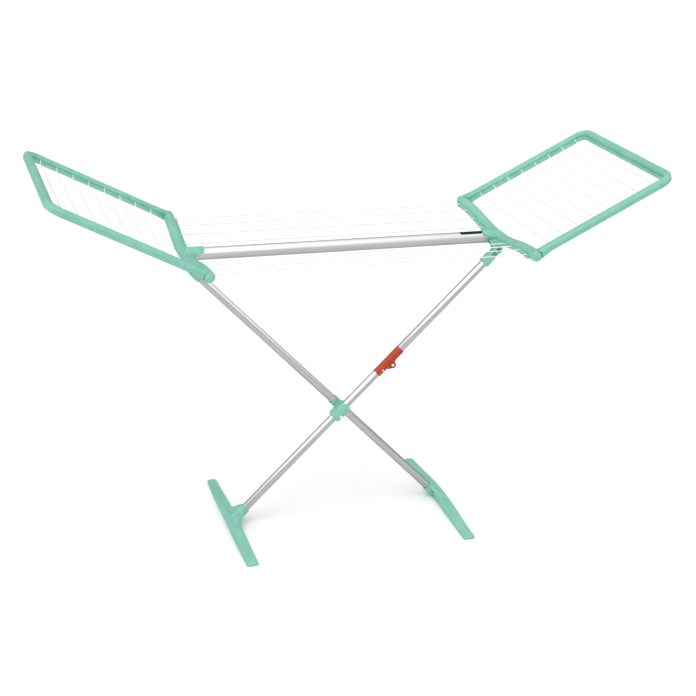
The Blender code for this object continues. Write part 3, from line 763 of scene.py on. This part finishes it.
def rail_section():
    """The rail's end: a round top over a flat skirt, with an inner lip that the lines hook over."""
    clear_bench()
    bpy.ops.mesh.primitive_plane_add(size=1, location=(RAIL_START, RAIL_Y, RAIL_LIFT), rotation=ALONG["X"])
    rail = settle("wing_rail", (RAIL_TALL, RAIL_WIDE, 1))
    outer, inner = RAIL_Y + RAIL_WIDE / 2, RAIL_Y - RAIL_WIDE / 2
    open_up(rail)
    pick(rail, lambda at, _: at.z > RAIL_LIFT, "VERT")
    bpy.ops.mesh.bevel(offset=RAIL_ROUND, segments=7, affect="VERTICES")
    pick(rail, lambda at, _: at.z < RAIL_LIFT and at.y > RAIL_Y, "VERT")
    bpy.ops.mesh.bevel(offset=RAIL_FOOT_ROUND, segments=3, affect="VERTICES")
    for height in (0.0026, 0.0016, 0.0006, LIP_TOP):
        score((0, 0, height), (0, 0, 1))
    pick(rail, lambda at, _: at.y > outer - 0.0055 and at.z < 0.0012, "VERT")
    push((0, -0.0012, 0))
    pick(rail, lambda at, _: at.y < inner + 0.0001 and 0.0010 < at.z < 0.0020, "VERT")
    push((0, 0.0014, 0))
    pick(rail, lambda at, heading: at.y < inner + 0.0001 and at.z < LIP_TOP and abs(heading.z) > 0.9,
         "EDGE")
    draw_edges((0, -LIP_REACH, 0))
    pick(rail, lambda at, _: at.y < inner - 0.001, "VERT")
    bpy.ops.mesh.bevel(offset=0.0014, segments=2, affect="VERTICES")
    return rail


def rail_stock():
    """Draw the section out along one rail, round the far end, and back along the other."""
    rail = rail_section()
    bpy.ops.mesh.select_all(action="SELECT")
    bend = WING_REACH - CORNER_R
    draw_out((RAIL_FLARE - RAIL_START, 0, 0))
    draw_out((bend - RAIL_FLARE, 0, 0))
    quarter = {"steps": 10, "angle": math.pi / 2, "axis": (0, 0, 1)}
    bpy.ops.mesh.spin(center=(bend, RAIL_Y - CORNER_R, RAIL_LIFT), **quarter)
    draw_out((0, -2 * (RAIL_Y - CORNER_R), 0))
    bpy.ops.mesh.spin(center=(bend, CORNER_R - RAIL_Y, RAIL_LIFT), **quarter)
    draw_out((RAIL_FLARE - bend, 0, 0))
    draw_out((RAIL_START - RAIL_FLARE, 0, 0))
    for side in (-1, 1):
        pick(rail, lambda at, _: at.x < RAIL_FLARE - 0.01 and side * at.y > RAIL_Y + 0.002, "VERT")
        push((0, side * FLARE_OUT, 0))
        pick(rail, lambda at, _: at.x < RAIL_FLARE - 0.01 and at.z < 0, "VERT")
        push((0, 0, -FLARE_DOWN))
    face_out()
    clear_bench()
    return rail


def wing_line_x(number):
    return WING_LINE_FIRST + WING_LINE_STEP * number


def wing_frames():
    """The rail, hollowed round its hinge caps, with a notch and a hole for each line's ends."""
    rail = rail_stock()
    cut_away(rail, round_bar("hinge_hollow", CAP_R + 0.0004, 0.7, (0, 0, 0), "Y", sides=64))
    face = RAIL_Y - RAIL_WIDE / 2
    notch = block("lip_notch", WING_NOTCH, (0, face - 0.0042, -0.0060))
    hole = block("line_hole", LINE_HOLE, (0, face + 0.0015, WING_LINE_HIGH))
    weld_on(notch, hole)
    back = row_of(notch, [(wing_line_x(number), 0, 0) for number in range(WING_LINES)])
    front = copy_of(back, "front_notches", Matrix.Scale(-1, 4, (0, 1, 0)))
    open_up(front)
    face_out()
    clear_bench()
    cut_away(rail, back, front)
    ease_edges(rail, 0.0004, angle=50)
    left = copy_of(rail, "left_wing_moulding", wing_place(-1))
    carry(rail, wing_place(1))
    rail.name = "right_wing_moulding"
    hand_over(left, MINT, "left_wing_frame")
    hand_over(rail, MINT, "right_wing_frame")


def hinge_caps():
    """A domed cap on each end of a crossbar, bored for its hinge pin."""
    start = BAR_HALF + GAP
    cap = round_bar("hinge_cap", CAP_R, CAP_TIP - start, (0, (CAP_TIP + start) / 2, 0), "Y", sides=64)
    open_up(cap)
    pick(cap, lambda at, heading: heading.y > 0.9)
    bpy.ops.mesh.bevel(offset=CAP_ROUND, segments=10, affect="EDGES")
    face_out()
    clear_bench()
    cut_away(cap, round_bar("cap_bore", HINGE_BORE_R, 0.030, (0, start, 0), "Y", sides=24))
    ease_edges(cap, 0.0004, angle=60)
    for word, side in (("left", -1), ("right", 1)):
        for place, turn in (("front", HALF_TURN), ("back", Matrix.Identity(4))):
            matrix = Matrix.Translation((side * HALF_SPAN, 0, HINGE_Z)) @ turn
            hand_over(copy_of(cap, f"{word}_cap_{place}", matrix), MINT, f"{word}_hinge_cap_{place}")
    bpy.data.objects.remove(cap)


def wing_lines():
    """A cord across the wing whose ends climb over the lips into the rails."""
    face = RAIL_Y - RAIL_WIDE / 2
    straight = face - LIP_REACH - 0.003
    low, high, first_rise = WING_LINE_LOW, WING_LINE_HIGH, 0.0008
    cord = round_bar("wing_cord", LINE_R, 2 * straight, (0, 0, low), "Y", sides=16)
    open_up(cord)
    for way in (-1, 1):
        pick(cord, lambda at, heading: way * heading.y > 0.9)
        draw_out((0, way * 0.0030, first_rise))
        stretch((1.12, 1, 1.12), (0, way * straight, low))
        draw_out((0, way * 0.0090, high - low - first_rise))
        stretch((1.25, 1, 1.25), (0, way * (straight + 0.012), high))
    face_out()
    clear_bench()
    for word, side in (("left", -1), ("right", 1)):
        for number in range(WING_LINES):
            matrix = wing_place(side) @ Matrix.Translation((wing_line_x(number), 0, 0))
            hand_over(copy_of(cord, f"{word}_wing_cord_{number + 1}", matrix), CORD,
                      f"{word}_wing_line_{number + 1}")
    bpy.data.objects.remove(cord)


# ---- legs, modelled in each leg's own frame, with -Z along the leg ----
def leg_place(side):
    place = Matrix.Translation((side * HALF_SPAN, -side * LEG_Y, PIVOT_Z))
    return place @ Matrix.Rotation(side * (math.pi / 2 - LEG_SLOPE), 4, "Y")


def leg_tube(name, start, end, side, look, node):
    piece = tube(name, LEG_R, LEG_WALL, end - start, (0, 0, -(start + end) / 2), "Z")
    carry(piece, leg_place(side))
    hand_over(piece, look, node)


def leg_fittings():
    """The leg's upper end: an eye, a flat neck with blind windows, and a square-shouldered sleeve."""
    fitting = block("leg_fitting", FITTING, (0, 0, FITTING_TOP - FITTING[2] / 2))
    open_up(fitting)
    pick(fitting, lambda at, heading: heading.z > 0.9)
    stretch((0.96, 0.92, 1), (0, 0, FITTING_TOP))
    clear_bench()
    ease_edges(fitting, 0.0050, segments=3)
    neck = block("fitting_neck", FITTING_NECK, (0, 0, -0.0160))
    eye = round_bar("fitting_eye", FITTING_EYE_R, FITTING_NECK[1], (0, 0, 0), "Y")
    weld_on(fitting, neck, eye)
    bore = round_bar("fitting_bore", LEG_R + GAP, 0.040, (0, 0, -LEG_START - 0.020 + GAP), sides=64)
    hole = round_bar("fitting_hole", LEG_PIN_BORE_R, 0.030, (0, 0, 0), "Y", sides=24)
    windows = [block("fitting_window", FITTING_WINDOW, (0.0015, y, z))
               for z in (-0.0155, -0.0215) for y in (-0.011, 0.011)]
    cut_away(fitting, bore, hole, *windows)
    ease_edges(fitting, 0.0005, angle=50)
    for word, side in (("a", -1), ("b", 1)):
        hand_over(copy_of(fitting, f"leg_{word}_head", leg_place(side)), MINT, f"leg_fitting_{word}")
    bpy.data.objects.remove(fitting)


def leg_pins():
    """The pin that each leg turns on, with its head to the front."""
    pin = turned_head("leg_pin", 0.0030, 0.0056, 0.0300, 0.0020, (0, -0.0140, 0))
    for word, side in (("a", -1), ("b", 1)):
        place = Matrix.Translation((side * HALF_SPAN, -side * LEG_Y, PIVOT_Z))
        hand_over(copy_of(pin, f"leg_{word}_pin", place), STEEL, f"leg_pin_{word}")
    bpy.data.objects.remove(pin)


def knee_half(name, way, outline, knuckles):
    """A half sleeve with its knuckle plates. way is 1 above the seam and -1 below it.

    The upper one has a low spigot that keeps the light out of the seam."""
    seam = -KNEE_AT
    sleeve = round_bar(name, KNEE_R, KNEE_HALF - KNEE_GAP,
                       (KNEE_SHIFT, 0, seam + way * (KNEE_HALF + KNEE_GAP) / 2), sides=64)
    for y, wide in knuckles:
        weld_on(sleeve, plate(name + "_knuckle", [(x, seam + z) for x, z in outline], wide, y))
    if way > 0:
        weld_on(sleeve, round_bar("seam_spigot", KNEE_R - 0.0020, 2 * KNEE_GAP, (KNEE_SHIFT, 0, seam + GAP),
                                  sides=64))
    return sleeve


def knee():
    """Two half sleeves whose knuckles turn on one pin: one tongue above, between two cheeks below."""
    seam = -KNEE_AT
    barrel = (KNEE_OFFSET, 0)
    above = [(0.004, KNEE_GAP), (0.004, 0.022), (0.0136, 0.0215)] + arc(KNUCKLE_R, 92, -180, 26, barrel)
    below = [(0.004, -KNEE_GAP), (0.004, -0.021), (0.0138, -0.0205), (0.0185, -0.0160)]
    below += arc(KNUCKLE_R, -60, 180, 24, barrel)
    upper = knee_half("knee_sleeve_upper", 1, above, [(0, 0.0126)])
    lower = knee_half("knee_sleeve_lower", -1, below, [(-CHEEK_Y, CHEEK_THICK), (CHEEK_Y, CHEEK_THICK)])
    ring_r = KNUCKLE_R + 0.0005
    for y in (-CHEEK_Y - 0.004, CHEEK_Y + 0.004):
        cut_away(upper, round_bar("cheek_room", ring_r, CHEEK_THICK + 0.0086, (KNEE_OFFSET, y, seam), "Y"))
    cut_away(lower, round_bar("tongue_room", ring_r, 0.0132, (KNEE_OFFSET, 0, seam), "Y"))
    for sleeve, way in ((upper, 1), (lower, -1)):
        bore = round_bar("knee_bore", LEG_R + GAP, 0.060, (0, 0, seam + way * (0.0117 + 0.030)), sides=64)
        pin = round_bar("knee_pin_hole", KNEE_PIN_R + GAP, 0.050, (KNEE_OFFSET, 0, seam), "Y", sides=32)
        cut_away(sleeve, bore, pin)
        if way < 0:
            for y in (-0.0130, 0.0130):
                cut_away(sleeve, round_bar("pin_seat", 0.0090, 0.0108, (KNEE_OFFSET, y, seam), "Y"))
        ease_edges(sleeve, 0.0008, angle=55)
        carry(sleeve, leg_place(1))
    hand_over(upper, RED, "knee_upper")
    hand_over(lower, RED, "knee_lower")


def knee_hardware():
    """A pin with dished heads, and the small rivet below it."""
    seam = -KNEE_AT
    eyelet = round_bar("knee_dished_pin", KNEE_PIN_R, 0.0220, (KNEE_OFFSET, 0, seam), "Y", sides=48)
    open_up(eyelet)
    for way in (-1, 1):
        about = (KNEE_OFFSET, way * 0.0122, seam)
        pick(eyelet, lambda at, heading: way * heading.y > 0.9)
        draw_out((0, way * 0.0012, 0))
        draw_out((0, 0, 0))
        stretch((0.72, 1, 0.72), about)
        draw_out((0, way * -0.0007, 0))
        stretch((0.80, 1, 0.80), about)
    face_out()
    clear_bench()
    ease_edges(eyelet, 0.0003, angle=50)
    carry(eyelet, leg_place(1))
    hand_over(eyelet, PALE_STEEL, "knee_eyelet")
    rivet = turned_head("knee_rivet_head", 0.0015, 0.0034, 0.0050, 0.0016,
                        (0.0040, -0.0132, seam - 0.0340))
    carry(rivet, leg_place(1))
    hand_over(rivet, PALE_STEEL, "knee_rivet")


def cross_block():
    """The block on leg B: rounded, with a slot on its upper side and a scooped seat for its rivet."""
    middle = -PIVOT_TO_CROSS - CROSS_BLOCK_DOWN
    piece = block("cross_block", CROSS_BLOCK, (0.0006, 0, middle))
    open_up(piece)
    pick(piece, lambda at, heading: abs(heading.y) > 0.9, "EDGE")
    bpy.ops.mesh.bevel(offset=0.0105, segments=2, affect="EDGES")
    pick(piece, lambda at, heading: abs(heading.z) > 0.9 and at.x < -0.015 and at.y < 0, "EDGE")
    bpy.ops.mesh.bevel(offset=0.0060, segments=5, affect="EDGES")
    clear_bench()
    scoop_at = (0.0150, -0.0188, middle - 0.0115)
    cut_away(piece, round_bar("rivet_scoop", SCOOP_R, 0.0100, scoop_at, "Y"),
             block("clip_slot", CLIP_SLOT, (-0.0150, 0.0040, middle + 0.0070)),
             round_bar("block_bore", LEG_R + GAP, 0.100, (0, 0, middle), sides=64))
    ease_edges(piece, 0.0012, angle=40)
    carry(piece, leg_place(1))
    hand_over(piece, MINT, "cross_clip_b")
    head = turned_head("cross_block_rivet", 0.0026, 0.0056, 0.0060, 0.0022,
                       (scoop_at[0] - 0.0030, -0.0138, scoop_at[2]))
    carry(head, leg_place(1))
    hand_over(head, PALE_STEEL, "cross_rivet_head")


def cross_sleeve():
    """The collared sleeve on leg A, which reaches further up the leg than down."""
    middle = -PIVOT_TO_CROSS
    piece = round_bar("cross_sleeve", SLEEVE_R, 0.0500, (0, 0, middle + 0.0060), sides=64)
    collar = round_bar("sleeve_collar", SLEEVE_R + 0.0011, 0.0030, (0, 0, middle + 0.0295), sides=64)
    boss = round_bar("sleeve_boss", 0.0120, 0.0140, (0, 0.0073 - LEG_Y, middle), "Y")
    weld_on(piece, collar, boss)
    cut_away(piece, round_bar("sleeve_bore", LEG_R + GAP, 0.080, (0, 0, middle), sides=64))
    ease_edges(piece, 0.0007, angle=50)
    carry(piece, leg_place(-1))
    hand_over(piece, MINT, "cross_sleeve_a")


# ---- feet ----
def arch_wave(y, half):
    """1 in the middle, falling in a smooth wave to 0 at both ends."""
    return (1 + math.cos(math.pi * max(-1, min(1, y / half)))) / 2


def foot_bar(name, side):
    """A straight bar, scored across and pushed up into an arch with a humped top."""
    bar = block(name, (FOOT_WIDE, 2 * FOOT_HALF, FOOT_TIP), (0, 0, FOOT_TIP / 2))
    open_up(bar)
    stations = [FOOT_HALF * (2 * step / FOOT_STEPS - 1) for step in range(FOOT_STEPS + 1)]
    for y in stations[1:-1]:
        score((0, y, 0), (0, 1, 0))
    for y in stations:
        rise = FOOT_RISE * arch_wave(y, FOOT_HALF - FOOT_FLAT)
        crown = (FOOT_RISE + FOOT_TALL - FOOT_TIP) * arch_wave(y, FOOT_HALF)
        pick(bar, lambda at, _: abs(at.y - y) < 0.001 and at.z < FOOT_TIP / 2, "VERT")
        push((0, 0, rise))
        pick(bar, lambda at, _: abs(at.y - y) < 0.001 and at.z > FOOT_TIP - 0.0001, "VERT")
        push((0, 0, crown))
        slim = 1 - FOOT_SLIM * max(0, y / FOOT_HALF) ** 2
        pick(bar, lambda at, _: abs(at.y - y) < 0.001, "VERT")
        stretch((slim, 1, 1), (0, y, 0))
        push((side * FOOT_BOW * (1 - (y / FOOT_HALF) ** 2), 0, 0))
    pick(bar, lambda at, heading: abs(heading.z) > 0.9 and at.y > FOOT_HALF - 0.001, "EDGE")
    bpy.ops.mesh.bevel(offset=0.0130, segments=5, affect="EDGES")
    face_out()
    clear_bench()
    ease_edges(bar, 0.0045, segments=4, angle=55)
    return bar


def gusset_outline(top):
    """Full height beside the socket, and flaring down to the bar on both sides."""
    flare = []
    for step in range(10):
        share = step / 9
        flare.append((0.0165 + 0.0535 * share ** 1.4, top * (1 - share) - 0.004 * share))
    return flare + [(-x, z) for x, z in reversed(flare)]


def foot(name, side, node, socket_top):
    """The bar, a gusset with a round recess on each face, and the socket for the leg's tube."""
    bar = foot_bar(name, side)
    carry(bar, Matrix.Translation((side * FOOT_X, 0, 0)))
    leg = leg_place(-side)
    web = plate(name + "_web", gusset_outline(socket_top - 0.003), WEB_THICK)
    recess_z = 0.42 * socket_top
    for y in (-0.0095, 0.0095):
        cut_away(web, round_bar("web_recess", WEB_RECESS_R, 0.0090, (WEB_RECESS, y, recess_z), "Y"))
    ease_edges(web, 0.0010)
    carry(web, Matrix.Translation((side * 0.007, 0, -PIVOT_TO_END)) @ Matrix.Rotation(math.pi / 2, 4, "Z"))
    socket = round_bar(name + "_socket", LEG_R + SOCKET_WALL, socket_top + SOCKET_FLOOR,
                       (0, 0, -PIVOT_TO_END + (socket_top - SOCKET_FLOOR) / 2), sides=64)
    ease_edges(socket, 0.0012)
    for part in (web, socket):
        carry(part, leg)
    weld_on(bar, web, socket)
    bore_long = 0.080
    bore = round_bar(name + "_bore", LEG_R + GAP, bore_long, (0, 0, -PIVOT_TO_END + bore_long / 2 - GAP),
                     sides=64)
    screw_z = -PIVOT_TO_END + socket_top - 0.0085
    screw = round_bar(name + "_screw_hole", 0.0024, 0.0500, (0, 0, screw_z), "Y", sides=24)
    for tool in (bore, screw):
        carry(tool, leg)
        cut_away(bar, tool)
    hand_over(bar, MINT, node)


def carried_over():
    """The pins that lie inside keep the CAD's shape."""
    hidden = [f"{word}_hinge_pin_{place}" for word in ("left", "right") for place in ("front", "back")]
    for node in hidden + ["cross_pin"]:
        frame["nodes"][node].data.materials.clear()
        frame["nodes"][node].data.materials.append(STEEL)


# ---- camera, floor and light ----
CAMERA_PLACE = (-1.338, -4.086, 2.289)
CAMERA_HEADING = math.radians(18.36)
CAMERA_DROP = math.radians(21.7)
CAMERA_ROLL = math.radians(2.34)
CAMERA_LENS = 75.4
FLOOR_HALF_SIDE = 80
FLOOR_DROP = 0.0005
SUN_POWER = 1.25
SUN_SPREAD = math.radians(50)
SUN_WAY = (0.42, 0.48, -1)


def set_camera():
    lens = bpy.data.cameras.new("camera")
    lens.lens = CAMERA_LENS
    lens.clip_end = 100
    camera = bpy.data.objects.new("camera", lens)
    bpy.context.scene.collection.objects.link(camera)
    aim = Matrix.Rotation(-CAMERA_HEADING, 4, "Z") @ Matrix.Rotation(math.pi / 2 - CAMERA_DROP, 4, "X")
    camera.matrix_world = Matrix.Translation(CAMERA_PLACE) @ aim @ Matrix.Rotation(CAMERA_ROLL, 4, "Z")
    bpy.context.scene.camera = camera


def set_world():
    """A white room for the light and the view, with a grey band low down in what the metal mirrors."""
    world = bpy.data.worlds.new("studio")
    world.use_nodes = True
    tree = world.node_tree
    room = tree.nodes["Background"]
    way = add_node(tree, "ShaderNodeSeparateXYZ",
                   {"Vector": tree.nodes.new("ShaderNodeTexCoord").outputs["Generated"]})
    high = spread(tree, way.outputs["Z"], 0.02, 0.42, 0.10, 1.15)
    front = spread(tree, way.outputs["Y"], 0.95, 0.20, 0.22, 1.0)
    mirrored = reckoned(tree, "MULTIPLY", high, front)
    rays = tree.nodes.new("ShaderNodeLightPath").outputs
    grey = mixed(tree, rays["Is Glossy Ray"], (0.80, 0.80, 0.80, 1), mirrored)
    white = mixed(tree, rays["Is Camera Ray"], grey, (1, 1, 1, 1))
    tree.links.new(white, room.inputs["Color"])
    bpy.context.scene.world = world


def set_light():
    """The room, and one wide soft sun from the front left."""
    scene = bpy.context.scene
    scene.view_settings.view_transform = "Standard"
    set_world()
    sun = bpy.data.lights.new("soft sun", "SUN")
    sun.energy = SUN_POWER
    sun.angle = SUN_SPREAD
    sun_object = bpy.data.objects.new("soft sun", sun)
    sun_object.rotation_euler = Vector(SUN_WAY).to_track_quat("-Z", "Y").to_euler()
    scene.collection.objects.link(sun_object)


def lay_floor():
    """A plain pale floor, which the metal mirrors a little darker."""
    clear_bench()
    bpy.ops.mesh.primitive_plane_add(size=2 * FLOOR_HALF_SIDE, location=(0, 0, -FLOOR_DROP))
    floor = bpy.context.object
    floor.name = "floor"
    paint, tree, shader, _ = start_finish("pale floor", Roughness=0.9, Specular_IOR_Level=0.0)
    rays = tree.nodes.new("ShaderNodeLightPath").outputs
    tree.links.new(mixed(tree, rays["Is Glossy Ray"], (0.96, 0.96, 0.96, 1), (0.55, 0.55, 0.55, 1)),
                   shader.inputs["Base Color"])
    floor.data.materials.append(paint)


# ---- the whole rack ----
beam()
beam_label()
crossbars()
main_lines()
wing_frames()
hinge_caps()
wing_lines()
leg_tube("leg_a_tube", LEG_START, PIVOT_TO_END, -1, LEG_A_METAL, "leg_tube_a")
leg_tube("leg_b_tube_upper", LEG_START, KNEE_AT - KNEE_STOP, 1, LEG_B_METAL, "leg_tube_b_upper")
leg_tube("leg_b_tube_lower", KNEE_AT + KNEE_STOP, PIVOT_TO_END, 1, LEG_B_METAL, "leg_tube_b_lower")
leg_fittings()
leg_pins()
knee()
knee_hardware()
cross_block()
cross_sleeve()
foot("right_foot", 1, "foot_a", SOCKET_TOP_A)
foot("left_foot", -1, "foot_b", SOCKET_TOP_B)
carried_over()
set_camera()
set_light()
lay_floor()
clear_bench()
